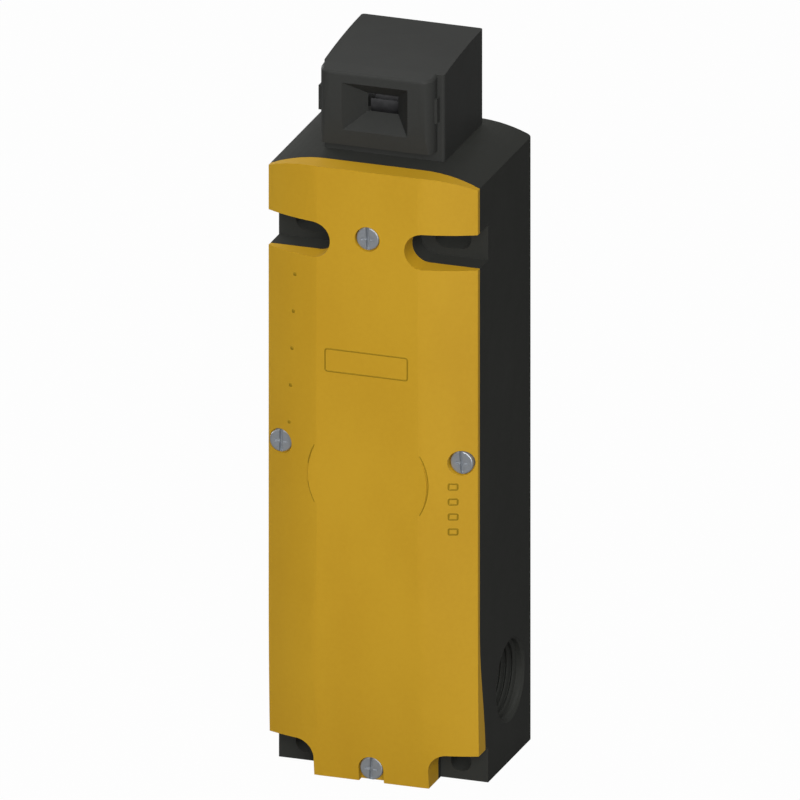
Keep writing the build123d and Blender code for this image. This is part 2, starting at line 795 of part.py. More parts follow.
armature_spring = coil_spring(
    solenoid_axis, core_top - core_bore_depth + seating, armature_bottom - seating,
    core_bore_radius - 2 * spring_wire, 7,
)
armature_spring.label = "armature_spring"
export_step(armature_spring, "parts/armature_spring.step")

# Lock lever: a fork around the armature's neck and a nose that enters the rod's groove
lever_arm = armature_stroke / sin(radians(lever_turn))
pivot_depth = solenoid_depth + lever_arm
pivot = Vector(0, at_depth(pivot_depth), lever_height)
nose_height = lever_height + lever_nose_reach
nose_tip_depth = axis_depth + rod_radius + lever_nose_gap
upright_depth = pivot_depth + lever_arm_offset
eye_radius = pin_radius + bracket_wall
fork_width = 2 * (stem_cap_radius + bracket_wall)
with BuildPart() as lock_lever:
    with BuildSketch(Plane.YZ):
        with Locations((pivot.Y, pivot.Z)):
            Circle(eye_radius)
        arm_top = nose_height + lever_nose_thickness / 2
        with Locations((at_depth(upright_depth), (lever_height + arm_top) / 2)):
            Rectangle(lever_thickness, arm_top - lever_height)
        with Locations((at_depth((nose_tip_depth + upright_depth) / 2), nose_height)):
            Rectangle(upright_depth - nose_tip_depth, lever_nose_thickness)
        with Locations((at_depth((solenoid_depth + pivot_depth) / 2), lever_height)):
            Rectangle(lever_arm, lever_thickness)
    extrude(amount=lever_width / 2, both=True)
    with BuildSketch(level(fork_low)):
        with Locations(solenoid_axis):
            Rectangle(fork_width, 2 * stem_cap_radius)
    extrude(amount=lever_thickness)
    with BuildSketch(level(fork_low)):
        with Locations(solenoid_axis):
            Circle(stem_radius + bracket_gap)
        with Locations((0, solenoid_axis[1] + stem_cap_radius)):
            Rectangle(2 * (stem_radius + bracket_gap), 2 * stem_cap_radius)
    extrude(amount=lever_thickness, mode=Mode.SUBTRACT)
    with BuildSketch(Plane.YZ):
        with Locations((pivot.Y, pivot.Z)):
            Circle(pin_radius + running_clearance)
    extrude(amount=lever_width, both=True, mode=Mode.SUBTRACT)
lock_lever.part.label = "lock_lever"
export_step(lock_lever.part, "parts/lock_lever.step")

ear_inner = lever_width / 2 + bracket_gap
ear_outer = ear_inner + bracket_wall
bracket_front = pivot_depth + eye_radius
bracket_back = solenoid_depth + armature_radius + bracket_gap
with BuildPart() as lever_bracket:
    with BuildSketch(level(yoke_top)):
        with Locations((0, at_depth((bracket_front + bracket_back) / 2))):
            Rectangle(2 * ear_outer, bracket_front - bracket_back)
    extrude(amount=bracket_wall)
    for side in (-1, 1):
        with BuildSketch(Plane.YZ.offset(side * ear_inner)):
            with Locations((pivot.Y, pivot.Z)):
                Circle(eye_radius)
            with Locations((pivot.Y, (yoke_top + lever_height) / 2)):
                Rectangle(2 * eye_radius, lever_height - yoke_top)
        extrude(amount=side * bracket_wall)
    with BuildSketch(Plane.YZ):
        with Locations((pivot.Y, pivot.Z)):
            Circle(pin_radius + running_clearance)
    extrude(amount=2 * ear_outer, both=True, mode=Mode.SUBTRACT)
lever_bracket.part.label = "lever_bracket"
export_step(lever_bracket.part, "parts/lever_bracket.step")

with BuildPart() as lever_pin:
    with BuildSketch(Plane.YZ):
        with Locations((pivot.Y, pivot.Z)):
            Circle(pin_radius)
    extrude(amount=ear_outer + bracket_wall / 2, both=True)
lever_pin.part.label = "lever_pin"
export_step(lever_pin.part, "parts/lever_pin.step")

# Plunger rod, from the cam down to the two lock grooves
rod_top = cam_height - cam_radius - tip_gap
lower_groove = lock_groove_height - cam_lead
rod_bottom = lower_groove - lock_groove_width / 2 - rod_end_land
with BuildPart() as plunger_rod:
    with BuildSketch(level(rod_bottom)):
        with Locations(head_axis):
            Circle(rod_radius)
    extrude(amount=rod_top - rod_bottom)
    tip = plunger_rod.faces().sort_by(Axis.Z)[-1].edges()
    chamfer(tip, length=rod_radius - rod_tip_radius, length2=rod_tip_height)
    with BuildSketch(level(collar_bottom)):
        with Locations(head_axis):
            Circle(collar_radius)
    extrude(amount=collar_height)
    for groove in (lower_groove, lock_groove_height):
        with BuildSketch(level(groove)):
            with Locations(head_axis):
                Circle(rod_radius + overrun)
                Circle(lock_groove_radius, mode=Mode.SUBTRACT)
        extrude(amount=lock_groove_width / 2, both=True, mode=Mode.SUBTRACT)
plunger_rod.part.label = "plunger_rod"
export_step(plunger_rod.part, "parts/plunger_rod.step")

with BuildPart() as contact_carrier:
    with BuildSketch(level(carrier_bottom)):
        with Locations(head_axis):
            Rectangle(2 * block_middle + leg_size, carrier_depth)
            Circle(hub_radius)
    extrude(amount=carrier_height)
    for side in (-1, 1):
        with BuildSketch(level(carrier_bottom)):
            with Locations((side * block_middle, at_depth(axis_depth))):
                Rectangle(leg_size, leg_size)
        extrude(amount=bridge_bottom + bridge_thickness - carrier_bottom)
    with BuildSketch(level(carrier_bottom)):
        with Locations(head_axis):
            Circle(rod_radius + running_clearance)
    extrude(amount=carrier_height, mode=Mode.SUBTRACT)
contact_carrier.part.label = "contact_carrier"
export_step(contact_carrier.part, "parts/contact_carrier.step")

with BuildPart() as contact_bridges:
    with BuildSketch(level(bridge_bottom)):
        with Locations((block_middle, at_depth(axis_depth)), (-block_middle, at_depth(axis_depth))):
            Rectangle(bridge_length, bridge_width)
    extrude(amount=bridge_thickness)
contact_bridges.part.label = "contact_bridges"
export_step(contact_bridges.part, "parts/contact_bridges.step")

# Spring that lifts the plunger, on its seat in the mouth of the tunnel
seat_top = cavity_top + seat_thickness
with BuildPart() as spring_seat:
    with BuildSketch(level(cavity_top)):
        with Locations(head_axis):
            Circle(tunnel_radius - seating)
            Circle(rod_radius + 2 * running_clearance, mode=Mode.SUBTRACT)
    extrude(amount=seat_thickness)
spring_seat.part.label = "spring_seat"
export_step(spring_seat.part, "parts/spring_seat.step")

plunger_spring = coil_spring(
    head_axis, seat_top + seating, collar_bottom - seating, collar_radius - 2 * spring_wire, 5,
)
plunger_spring.label = "plunger_spring"
export_step(plunger_spring, "parts/plunger_spring.step")

# Seal ring under the head
with BuildPart() as head_seal:
    with BuildSketch(Plane.XZ.offset(axis_depth - back)):
        with Locations((seal_radius, body_height - seal_section)):
            Circle(seal_section - seating / 2)
    revolve(axis=Axis((0, at_depth(axis_depth), 0), (0, 0, 1)))
head_seal.part.label = "head_seal"
export_step(head_seal.part, "parts/head_seal.step")


def head_crown():
    """Side view of a large disc whose rim is the head's convex top."""
    with BuildSketch(Plane.YZ) as disc:
        with Locations((at_depth(head_back_depth), head_top - head_crown_radius)):
            Circle(head_crown_radius)
    return disc.sketch


head_bottom = body_height + head_gap
head_half = head_width / 2
inner_half = head_half - head_wall
inner_back = head_back_depth + head_wall
inner_front = head_front_depth - head_wall
inner_top = head_top - head_roof
axle_half = inner_half + axle_seat - seating
funnel_end = inner_front + seating
plate_front = head_front_depth + plate_thickness
# Size of the funnel where it passes through the head's front wall
taper = (head_front_depth - funnel_end) / (plate_front - funnel_end)
slot_low = slot_centre - slot_height / 2
slot_high = slot_centre + slot_height / 2
mouth_top = mouth_bottom + mouth_height
boss_half = slot_width / 2 + (mouth_width - slot_width) / 2 * taper + funnel_wall
boss_low = slot_low - (slot_low - mouth_bottom) * taper - funnel_wall
boss_high = slot_high + (mouth_top - slot_high) * taper + funnel_wall

# Head housing
with BuildPart() as head_housing:
    with BuildSketch(level(head_bottom)):
        with Locations(head_axis):
            RectangleRounded(head_width, head_front_depth - head_back_depth, head_corner)
    extrude(amount=head_top - head_bottom)
    extrude(head_crown(), amount=head_half, both=True, mode=Mode.INTERSECT)
    with BuildSketch(level(head_bottom)):
        with Locations(head_axis):
            Rectangle(2 * inner_half, inner_front - inner_back)
    extrude(amount=inner_top - head_bottom, mode=Mode.SUBTRACT)
    with BuildSketch(front_plane(inner_front)):
        with Locations((plate_offset, (boss_low + boss_high) / 2)):
            Rectangle(2 * (boss_half + seating), boss_high - boss_low + 2 * seating)
    extrude(amount=head_wall, mode=Mode.SUBTRACT)
    with BuildSketch(Plane.YZ):
        with Locations((at_depth(axis_depth), cam_height)):
            Circle(axle_radius + running_clearance)
    extrude(amount=inner_half + axle_seat, both=True, mode=Mode.SUBTRACT)
head_housing.part.label = "head_housing"
export_step(head_housing.part, "parts/head_housing.step")

# Entry plate with the funnel that guides the tongue
with BuildPart() as entry_plate:
    with BuildSketch(level(plate_bottom)) as plan:
        with Locations((plate_offset, at_depth(head_front_depth + plate_thickness / 2))):
            Rectangle(plate_width, plate_thickness)
        fillet(plan.vertices().group_by(Axis.Y)[0], radius=plate_corner)
    extrude(amount=head_top - plate_bottom)
    extrude(head_crown(), amount=head_half, both=True, mode=Mode.INTERSECT)
    top_front = entry_plate.faces().sort_by(Axis.Z)[-1].edges().sort_by(Axis.Y)[0]
    fillet(top_front, radius=plate_top_radius)
    with BuildSketch(Plane.YZ):
        with BuildLine():
            Polyline(
                (at_depth(plate_front), plate_lean_height),
                (at_depth(plate_front - plate_lean), plate_bottom),
                (at_depth(plate_front + overrun), plate_bottom),
                (at_depth(plate_front + overrun), plate_lean_height),
                close=True,
            )
        make_face()
    extrude(amount=head_half, both=True, mode=Mode.SUBTRACT)
    with BuildSketch(front_plane(head_front_depth)):
        with Locations((plate_offset, lug_bottom + lug_height / 2)):
            Rectangle(plate_width + 2 * lug_rise, lug_height)
    extrude(amount=lug_depth)
    with BuildSketch(front_plane(funnel_end)):
        with Locations((plate_offset, (boss_low + boss_high) / 2)):
            Rectangle(2 * boss_half, boss_high - boss_low)
    extrude(amount=head_front_depth - funnel_end)
    with BuildSketch(front_plane(funnel_end)):
        with Locations((plate_offset, slot_centre)):
            Rectangle(slot_width, slot_height)
    with BuildSketch(front_plane(plate_front)):
        with Locations((plate_offset, (mouth_bottom + mouth_top) / 2)):
            Rectangle(mouth_width, mouth_height)
    loft(mode=Mode.SUBTRACT)
entry_plate.part.label = "entry_plate"
export_step(entry_plate.part, "parts/entry_plate.step")

# Head base with its turret spigot, retained by a ring below the housing's shoulder
ring_top = body_height - shoulder_thickness - head_gap
with BuildPart() as head_base:
    with BuildSketch(level(head_bottom)):
        with Locations(head_axis):
            Rectangle(2 * (inner_half - seating), inner_front - inner_back - 2 * seating)
    extrude(amount=base_thickness)
    with BuildSketch(level(head_bottom)):
        with Locations(head_axis):
            Circle(spigot_radius)
    extrude(amount=-spigot_length)
    with BuildSketch(level(ring_top)):
        with Locations(head_axis):
            Circle(spigot_radius + overrun)
            Circle(spigot_radius - ring_groove, mode=Mode.SUBTRACT)
    extrude(amount=-ring_thickness - seating, mode=Mode.SUBTRACT)
    with BuildSketch(level(head_bottom + base_thickness)):
        with Locations(head_axis):
            Circle(bush_radius)
    extrude(amount=-spigot_length - base_thickness, mode=Mode.SUBTRACT)
head_base.part.label = "head_base"
export_step(head_base.part, "parts/head_base.step")

with BuildPart() as retaining_ring:
    with BuildSketch(level(ring_top - seating / 2)):
        with Locations(head_axis):
            Circle(ring_outer_radius)
            Circle(spigot_radius - ring_groove + seating / 2, mode=Mode.SUBTRACT)
        with Locations((0, head_axis[1] + spigot_radius)):
            Rectangle(spigot_radius / 2, spigot_radius, mode=Mode.SUBTRACT)
    extrude(amount=-ring_thickness)
retaining_ring.part.label = "retaining_ring"
export_step(retaining_ring.part, "parts/retaining_ring.step")

with BuildPart() as guide_bush:
    with BuildSketch(level(head_bottom + base_thickness)):
        with Locations(head_axis):
            Circle(bush_radius - seating / 2)
            Circle(rod_radius + running_clearance, mode=Mode.SUBTRACT)
    extrude(amount=-spigot_length - base_thickness)
guide_bush.part.label = "guide_bush"
export_step(guide_bush.part, "parts/guide_bush.step")

with BuildPart() as cam_axle:
    with BuildSketch(Plane.YZ):
        with Locations((at_depth(axis_depth), cam_height)):
            Circle(axle_radius)
    extrude(amount=axle_half, both=True)
cam_axle.part.label = "cam_axle"
export_step(cam_axle.part, "parts/cam_axle.step")


def cam_point(angle, radius):
    """Point of the cam's side view; the angle runs from the front over the top."""
    turn = radians(angle)
    return (at_depth(axis_depth) - radius * cos(turn), cam_height + radius * sin(turn))


# Cam wheel: a round disc whose lower back falls in by an even spiral, with a notch for the tongue
spiral_steps = 6
spiral_start = -90
low_start = spiral_start - cam_turn
low_end = low_start - cam_low_angle
rim_middle = (low_end + 360 + spiral_start) / 2
low_radius = cam_radius - cam_lead
spiral_shares = [step / spiral_steps for step in range(spiral_steps + 1)]
spiral = [cam_point(spiral_start - cam_turn * share, cam_radius - cam_lead * share) for share in spiral_shares]
with BuildPart() as cam_wheel:
    with BuildSketch(Plane.YZ):
        with BuildLine():
            Spline(*spiral)
            ThreePointArc(
                spiral[-1], cam_point((low_start + low_end) / 2, low_radius),
                cam_point(low_end, low_radius),
            )
            Line(cam_point(low_end, low_radius), cam_point(low_end, cam_radius))
            ThreePointArc(cam_point(low_end, cam_radius), cam_point(rim_middle, cam_radius), spiral[0])
        make_face()
        notch_out = cam_radius + cam_notch_radius
        with Locations(cam_point(cam_notch_angle, cam_radius - cam_notch_sink)):
            Circle(cam_notch_radius, mode=Mode.SUBTRACT)
        with Locations(Location((*cam_point(cam_notch_angle, notch_out), 0), (0, 0, -cam_notch_angle))):
            Rectangle(cam_notch_length, 2 * cam_notch_radius, mode=Mode.SUBTRACT)
        with Locations((at_depth(axis_depth), cam_height)):
            Circle(axle_radius + running_clearance, mode=Mode.SUBTRACT)
    extrude(amount=cam_width / 2, both=True)
cam_wheel.part.label = "cam_wheel"
export_step(cam_wheel.part, "parts/cam_wheel.step")
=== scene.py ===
import json
import math

import bmesh
import bpy
import numpy as np
from mathutils import Matrix, Vector


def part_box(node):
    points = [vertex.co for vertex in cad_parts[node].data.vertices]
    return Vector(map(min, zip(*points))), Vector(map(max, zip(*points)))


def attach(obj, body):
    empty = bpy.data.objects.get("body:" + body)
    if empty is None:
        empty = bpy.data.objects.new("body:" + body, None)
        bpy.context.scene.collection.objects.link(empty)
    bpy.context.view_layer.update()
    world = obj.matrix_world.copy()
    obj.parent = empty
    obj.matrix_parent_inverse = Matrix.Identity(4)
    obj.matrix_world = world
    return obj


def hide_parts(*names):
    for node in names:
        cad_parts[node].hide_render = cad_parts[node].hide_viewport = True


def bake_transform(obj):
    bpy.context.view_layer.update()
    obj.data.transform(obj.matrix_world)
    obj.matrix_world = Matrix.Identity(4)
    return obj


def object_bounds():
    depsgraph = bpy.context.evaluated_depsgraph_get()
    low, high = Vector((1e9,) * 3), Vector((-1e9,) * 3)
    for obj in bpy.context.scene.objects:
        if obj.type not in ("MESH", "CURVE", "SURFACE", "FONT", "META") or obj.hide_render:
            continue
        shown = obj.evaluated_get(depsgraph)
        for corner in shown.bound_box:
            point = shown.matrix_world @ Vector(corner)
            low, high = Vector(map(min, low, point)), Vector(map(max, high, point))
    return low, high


# The looks of a tongue interlock switch: moulded black housing and head, yellow cover, zinc screws.
# Lengths are in metres; X is to the right, Y to the back, Z up, as in the frame.

MM = 0.001

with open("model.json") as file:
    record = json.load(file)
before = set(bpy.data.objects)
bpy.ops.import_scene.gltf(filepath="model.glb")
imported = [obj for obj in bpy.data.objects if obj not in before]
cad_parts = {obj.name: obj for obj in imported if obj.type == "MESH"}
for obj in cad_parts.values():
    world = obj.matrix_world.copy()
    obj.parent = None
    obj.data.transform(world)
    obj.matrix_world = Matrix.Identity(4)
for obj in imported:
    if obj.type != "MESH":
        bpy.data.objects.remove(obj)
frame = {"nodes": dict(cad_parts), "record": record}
cad_low, cad_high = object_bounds()


# Shader maths

class Value:
    """One output socket of a material's node; sums and products of it add Math nodes."""

    def __init__(self, finish, socket):
        self.finish = finish
        self.socket = socket

    def _with(self, operation, *others):
        return self.finish.node("ShaderNodeMath", {"operation": operation}, *others)

    def __add__(self, other):
        return self._with("ADD", self, other)

    def __sub__(self, other):
        return self._with("SUBTRACT", self, other)

    def __mul__(self, other):
        return self._with("MULTIPLY", self, other)

    def __rsub__(self, other):
        return self._with("SUBTRACT", other, self)

    __radd__ = __add__
    __rmul__ = __mul__

    def abs(self):
        return self._with("ABSOLUTE", self)

    def sine(self):
        return self._with("SINE", self)

    def step(self, low, high):
        """0 below low, 1 above high, and a smooth rise between them."""
        settings = {"interpolation_type": "SMOOTHSTEP"}
        return self.finish.node("ShaderNodeMapRange", settings, self, low, high, 0.0, 1.0)


class Finish:
    """A material with one Principled shader, whose values are given as numbers or as Value expressions."""

    def __init__(self, name, constants=()):
        self.material = bpy.data.materials.new(name)
        self.material.use_nodes = True
        self.tree = self.material.node_tree
        self.tree.nodes.clear()
        self.output = self.tree.nodes.new("ShaderNodeOutputMaterial")
        self.shader = self.tree.nodes.new("ShaderNodeBsdfPrincipled")
        self.tree.links.new(self.shader.outputs[0], self.output.inputs[0])
        for key, value in dict(constants).items():
            self.set(key, value)
        self.place = self.node("ShaderNodeTexCoord", {}, output="Object")

    def node(self, kind, settings, *values, output=0, **named):
        """Adds a node: its settings first, then its inputs by order or by name, numbers or links."""
        node = self.tree.nodes.new(kind)
        for key, value in settings.items():
            setattr(node, key, value)
        pairs = [(node.inputs[index], value) for index, value in enumerate(values)]
        pairs += [(node.inputs[key.replace("_", " ").title()], value) for key, value in named.items()]
        for socket, value in pairs:
            self.feed(socket, value)
        return Value(self, node.outputs[output])

    def feed(self, socket, value):
        """Links a Value to a socket, or sets the socket's own number, vector or colour."""
        if isinstance(value, Value):
            self.tree.links.new(value.socket, socket)
        elif hasattr(value, "__len__") and len(value) == 3 and socket.type == "RGBA":
            socket.default_value = (*value, 1.0)
        else:
            socket.default_value = value

    def set(self, name, value):
        """Sets one input of the Principled shader."""
        self.feed(self.shader.inputs[name], value)
        return self

    def noise(self, size, detail=3.0, stretch=(1.0, 1.0, 1.0)):
        """Soft noise between 0 and 1 whose blotches are about one size wide, in metres."""
        scale = tuple(part / size for part in stretch)
        place = self.node("ShaderNodeMapping", {}, Vector=self.place, Scale=scale)
        return self.node("ShaderNodeTexNoise", {}, Vector=place, Scale=1.0, Detail=detail)

    def cells(self, size):
        """Distance to the nearest of scattered points about one size apart, in sizes."""
        scale = (1 / size,) * 3
        place = self.node("ShaderNodeMapping", {}, Vector=self.place, Scale=scale)
        return self.node("ShaderNodeTexVoronoi", {}, Vector=place, Scale=1.0)

    def axis(self, letter):
        """Place along X, Y or Z, in metres."""
        return self.node("ShaderNodeSeparateXYZ", {}, self.place, output=letter)

    def mix(self, factor, first, second):
        """Colour between two colours, through the colour sockets of a Mix node."""
        mixed = self.node("ShaderNodeMix", {"data_type": "RGBA"}, output=2)
        inputs = mixed.socket.node.inputs
        for index, value in ((0, factor), (6, first), (7, second)):
            self.feed(inputs[index], value)
        return mixed

    def bump(self, height, depth):
        """Raises the surface by height times depth, in metres."""
        normal = self.node("ShaderNodeBump", {}, Height=height, Distance=depth, Strength=1.0)
        return self.set("Normal", normal)


# Materials

YELLOW = (0.478, 0.277, 0.0140)
YELLOW_DEEP = (0.446, 0.252, 0.0115)
YELLOW_MARK_AND_SHADE_LINE = (0.270, 0.170, 0.0080)
HOUSING_BLACK = (0.0300, 0.0310, 0.0280)
HEAD_BLACK = (0.0360, 0.0370, 0.0350)
ZINC = (0.470, 0.500, 0.535)
STEEL = (0.42, 0.42, 0.43)
DARK_STEEL = (0.085, 0.085, 0.088)
BRASS = (0.60, 0.42, 0.18)
COPPER = (0.45, 0.16, 0.06)
RUBBER = (0.016, 0.016, 0.016)
NYLON = (0.58, 0.56, 0.50)
THERMOSET = (0.10, 0.10, 0.11)
BLOOM_GREY = (0.045, 0.045, 0.045)
GRAIN_SIZE = 0.42 * MM
WIRE_TURN = 0.35 * MM


def darker(colour, share):
    return tuple(part * share for part in colour)


def moulded(name, colour, roughness, grain_depth, deep=None, specular=0.08):
    """Moulded plastic: a fine eroded grain, faint flow clouds in the colour and a rubbed, uneven gloss."""
    finish = Finish(name, {"Specular IOR Level": specular})
    clouds = finish.noise(18 * MM, 2.0, stretch=(1.0, 1.0, 0.45))
    specks = finish.noise(1.1 * MM, 4.0)
    tint = (clouds * 0.7 + specks * 0.3).step(0.3, 0.7)
    finish.set("Base Color", finish.mix(tint, deep or darker(colour, 0.9), colour))
    rubbed = finish.noise(7 * MM, 5.0)
    finish.set("Roughness", roughness - 0.05 + rubbed * 0.1 + (specks - 0.5) * 0.06)
    pits = finish.cells(GRAIN_SIZE)
    fine = finish.noise(GRAIN_SIZE * 0.55, 3.0)
    finish.bump(pits * 0.6 + fine, grain_depth)
    return finish.material


def plated(name, colour, roughness):
    """Zinc-plated steel: passivated clouds, fine drawn streaks and a grey bloom."""
    finish = Finish(name)
    clouds = finish.noise(2.4 * MM, 4.0)
    streaks = finish.noise(0.25 * MM, 3.0, stretch=(6.0, 1.0, 1.0))
    tint = (clouds * 0.6 + streaks * 0.4).step(0.25, 0.75)
    finish.set("Base Color", finish.mix(tint, darker(colour, 0.72), colour))
    finish.set("Metallic", 0.62 + clouds * 0.25)
    finish.set("Roughness", roughness - 0.08 + streaks * 0.2)
    finish.bump(streaks + clouds * 0.5, 0.006 * MM)
    return finish.material


def metal(name, colour, roughness):
    """Bare metal inside the switch: fine turning lines and a little tarnish."""
    finish = Finish(name)
    tarnish = finish.noise(1.6 * MM, 4.0)
    lines = finish.noise(0.12 * MM, 2.0, stretch=(1.0, 1.0, 9.0))
    finish.set("Base Color", finish.mix(tarnish.step(0.35, 0.75), darker(colour, 0.8), colour))
    finish.set("Metallic", 0.9 - tarnish * 0.15)
    finish.set("Roughness", roughness + lines * 0.12)
    finish.bump(lines, 0.004 * MM)
    return finish.material


def wound(name, colour):
    """Enamelled wire wound in layers: one rounded ridge for each turn along Z, and painted shade that darkens
    the colour in the grooves between turns.
    """
    finish = Finish(name, {"Coat Roughness": 0.2})
    ridge_and_groove_shade = (finish.axis("Z") * (2 * math.pi / WIRE_TURN)).sine().abs()
    clouds = finish.noise(3 * MM, 3.0)
    # Painted shade: the colour falls to 0.55 of itself in the grooves between turns
    finish.set("Base Color", finish.mix(ridge_and_groove_shade * 0.7 + clouds * 0.3, darker(colour, 0.55), colour))
    finish.set("Roughness", 0.32 + clouds * 0.12)
    finish.set("Coat Weight", 0.3 + clouds * 0.2)
    finish.bump(ridge_and_groove_shade, 0.08 * MM)
    return finish.material


def rubber(name, colour):
    """Moulded rubber: matt, with a powdery bloom."""
    finish = Finish(name)
    bloom = finish.noise(1.5 * MM, 5.0)
    finish.set("Base Color", finish.mix(bloom.step(0.45, 0.8), colour, BLOOM_GREY))
    finish.set("Roughness", 0.75 + bloom * 0.15)
    finish.bump(bloom, 0.02 * MM)
    return finish.material


FINISHES = {
    "black_housing": moulded("housing_grain", HOUSING_BLACK, 0.52, 0.010 * MM),
    "black_head": moulded("head_grain", HEAD_BLACK, 0.50, 0.010 * MM),
    "black_entry": moulded("entry_satin", HEAD_BLACK, 0.46, 0.007 * MM),
    "black_plug": moulded("plug_grain", HOUSING_BLACK, 0.50, 0.008 * MM),
    "yellow_cover": moulded("cover_grain", YELLOW, 0.50, 0.008 * MM, YELLOW_DEEP, 0.2),
    "zinc_screw": plated("zinc", ZINC, 0.42),
    "rubber_seal": rubber("seal_rubber", RUBBER),
    "sheet_steel": metal("pressed_steel", STEEL, 0.38),
    "spring_steel": metal("drawn_steel", STEEL, 0.30),
    "cam_steel": metal("sintered_steel", DARK_STEEL, 0.46),
    "contact_moulding": moulded("thermoset", THERMOSET, 0.5, 0.010 * MM),
    "bobbin_plastic": moulded("nylon", NYLON, 0.45, 0.008 * MM),
    "contact_brass": metal("contact_brass", BRASS, 0.28),
    "copper_winding": wound("copper_wire", COPPER),
}
# Dark olive of the cover's marks, also used for the painted shade line along the edge of its round field
MARK_AND_SHADE_LINE = moulded("cover_mark_and_painted_shade", YELLOW_MARK_AND_SHADE_LINE, 0.55, 0.004 * MM)


# Meshes: distances in metres, the angle in degrees

MERGE_DISTANCE = 1e-6
POLE_MERGE = 1e-7
FLAT_ANGLE = 0.4
SEAM_REACH = 0.01 * MM
EDGE_SEGMENTS = 3


def lattice_faces(rows, columns, wrap_rows=False, wrap_columns=False):
    """Quads between neighbouring points of a lattice of rows and columns, as an array of indices."""
    row = np.arange(rows if wrap_rows else rows - 1)[:, None]
    column = np.arange(columns if wrap_columns else columns - 1)[None, :]
    next_row = (row + 1) % rows
    next_column = (column + 1) % columns
    corners = (row * columns + column, row * columns + next_column,
               next_row * columns + next_column, next_row * columns + column)
    return np.stack(np.broadcast_arrays(*corners), axis=-1).reshape(-1, 4)


def new_piece(name, surfaces, finish, body, sharp=40):
    """A mesh from surfaces, each a pair of points (rows, columns, 3) and quads. Seams and poles are closed
    by merging their doubles, and the faces are turned outwards."""
    points, quads, first = [], [], 0
    for surface, faces in surfaces:
        flat = surface.reshape(-1, 3)
        points.append(flat)
        quads.append(faces + first)
        first += len(flat)
    mesh = bpy.data.meshes.new(name)
    mesh.from_pydata(np.concatenate(points).tolist(), [], np.concatenate(quads).tolist())
    build = bmesh.new()
    build.from_mesh(mesh)
    bmesh.ops.remove_doubles(build, verts=build.verts, dist=POLE_MERGE)
    bmesh.ops.recalc_face_normals(build, faces=build.faces)
    build.to_mesh(mesh)
    build.free()
    return shown(name, mesh, finish, body, sharp)


def shown(name, mesh, finish, body, sharp):
    """Links the mesh as a finished piece. A body may be a name, or None for a piece that stays on no body."""
    mesh.materials.clear()
    mesh.materials.append(finish)
    mesh.shade_smooth()
    mesh.set_sharp_from_angle(angle=math.radians(sharp))
    piece = bpy.data.objects.new(name, mesh)
    bpy.context.scene.collection.objects.link(piece)
    if body:
        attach(piece, body)
    return piece


def node_facts(node):
    """The body that carries a CAD node, and its material slot."""
    record = frame["record"]
    body = next(name for name, members in record["behaviour"]["bodies"].items() if node in members)
    slot = next(row["material_slot"] for row in record["subparts"] if row["node"] == node)
    return body, slot


def merged_copy(node):
    """A bmesh with the shape of a CAD node, its loose triangles merged."""
    build = bmesh.new()
    build.from_mesh(frame["nodes"][node].data)
    bmesh.ops.remove_doubles(build, verts=build.verts, dist=MERGE_DISTANCE)
    return build


def finished_mesh(build, name):
    """The mesh that a bmesh holds, which is freed."""
    mesh = bpy.data.meshes.new(name)
    build.to_mesh(mesh)
    build.free()
    return mesh


def rounded(node, name, edge, seam_y=None, sharp=30):
    """A copy of a CAD node whose sharp edges are rounded by a small bevel.
    The edges that lie on the plane seam_y stay sharp: there the node meets its neighbour flush."""
    body, slot = node_facts(node)
    build = merged_copy(node)
    flat = math.radians(FLAT_ANGLE)
    bmesh.ops.dissolve_limit(build, angle_limit=flat, verts=build.verts, edges=build.edges)
    weights = build.edges.layers.float.new("bevel_weight_edge")
    for line in build.edges:
        on_seam = seam_y is not None and all(abs(vert.co.y - seam_y) < SEAM_REACH for vert in line.verts)
        corner = len(line.link_faces) == 2 and line.calc_face_angle() > math.radians(sharp)
        line[weights] = 1.0 if corner and not on_seam else 0.0
    piece = shown(name, finished_mesh(build, name), FINISHES[slot], body, sharp)
    bevel = piece.modifiers.new("edges", "BEVEL")
    bevel.limit_method = "WEIGHT"
    bevel.width = edge
    bevel.segments = EDGE_SEGMENTS
    bevel.use_clamp_overlap = True
    normals = piece.modifiers.new("normals", "WEIGHTED_NORMAL")
    normals.mode = "FACE_AREA"
    normals.keep_sharp = True
    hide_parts(node)
    return piece


def spring(node, name, moving, sharp=40):
    """A copy of a spring's CAD node, linked without a body. Its fixed and free ends are found from the moving
    body's joint, but the copy does not follow that body and is not pressed together as the joint moves."""
    _, slot = node_facts(node)
    joint = next(row for row in frame["record"]["behaviour"]["joints"] if row["child"] == moving)
    fixed = next(row["fixed_end_z_m"] for row in joint["deforming_nodes"] if row["node"] == node)
    low_corner, high_corner = (Vector(corner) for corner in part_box(node))
    free = max((low_corner.z, high_corner.z), key=lambda z: abs(z - fixed))
    piece = shown(name, finished_mesh(merged_copy(node), name), FINISHES[slot], None, sharp)
    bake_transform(piece)
    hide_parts(node)
    return piece


# The cover's face, from the same sizes as the frame's cover node

COVER_LOW, COVER_HIGH = (Vector(corner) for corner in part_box("cover"))
HALF_WIDTH = COVER_HIGH.x
FLAT_HALF = 12.8 * MM
SIDE_RADIUS = 46.0 * MM
EDGE_FALL = 4.6 * MM
FRONT = COVER_LOW.y


def side_circle():
    """Centre of the arc that falls from the flat strip's edge to the cover's side edge, in X and depth."""
    start = np.array((FLAT_HALF, 0.0))
    end = np.array((HALF_WIDTH, EDGE_FALL))
    chord = end - start
    half = np.linalg.norm(chord) / 2
    inward = np.array((-chord[1], chord[0])) / (2 * half)
    return (start + end) / 2 + inward * math.sqrt(SIDE_RADIUS ** 2 - half ** 2)


SIDE_CENTRE = side_circle()
MARK_ROOT = 0.3 * MM
RIM_TUCK = 0.02 * MM
ARC_FADE = 0.15


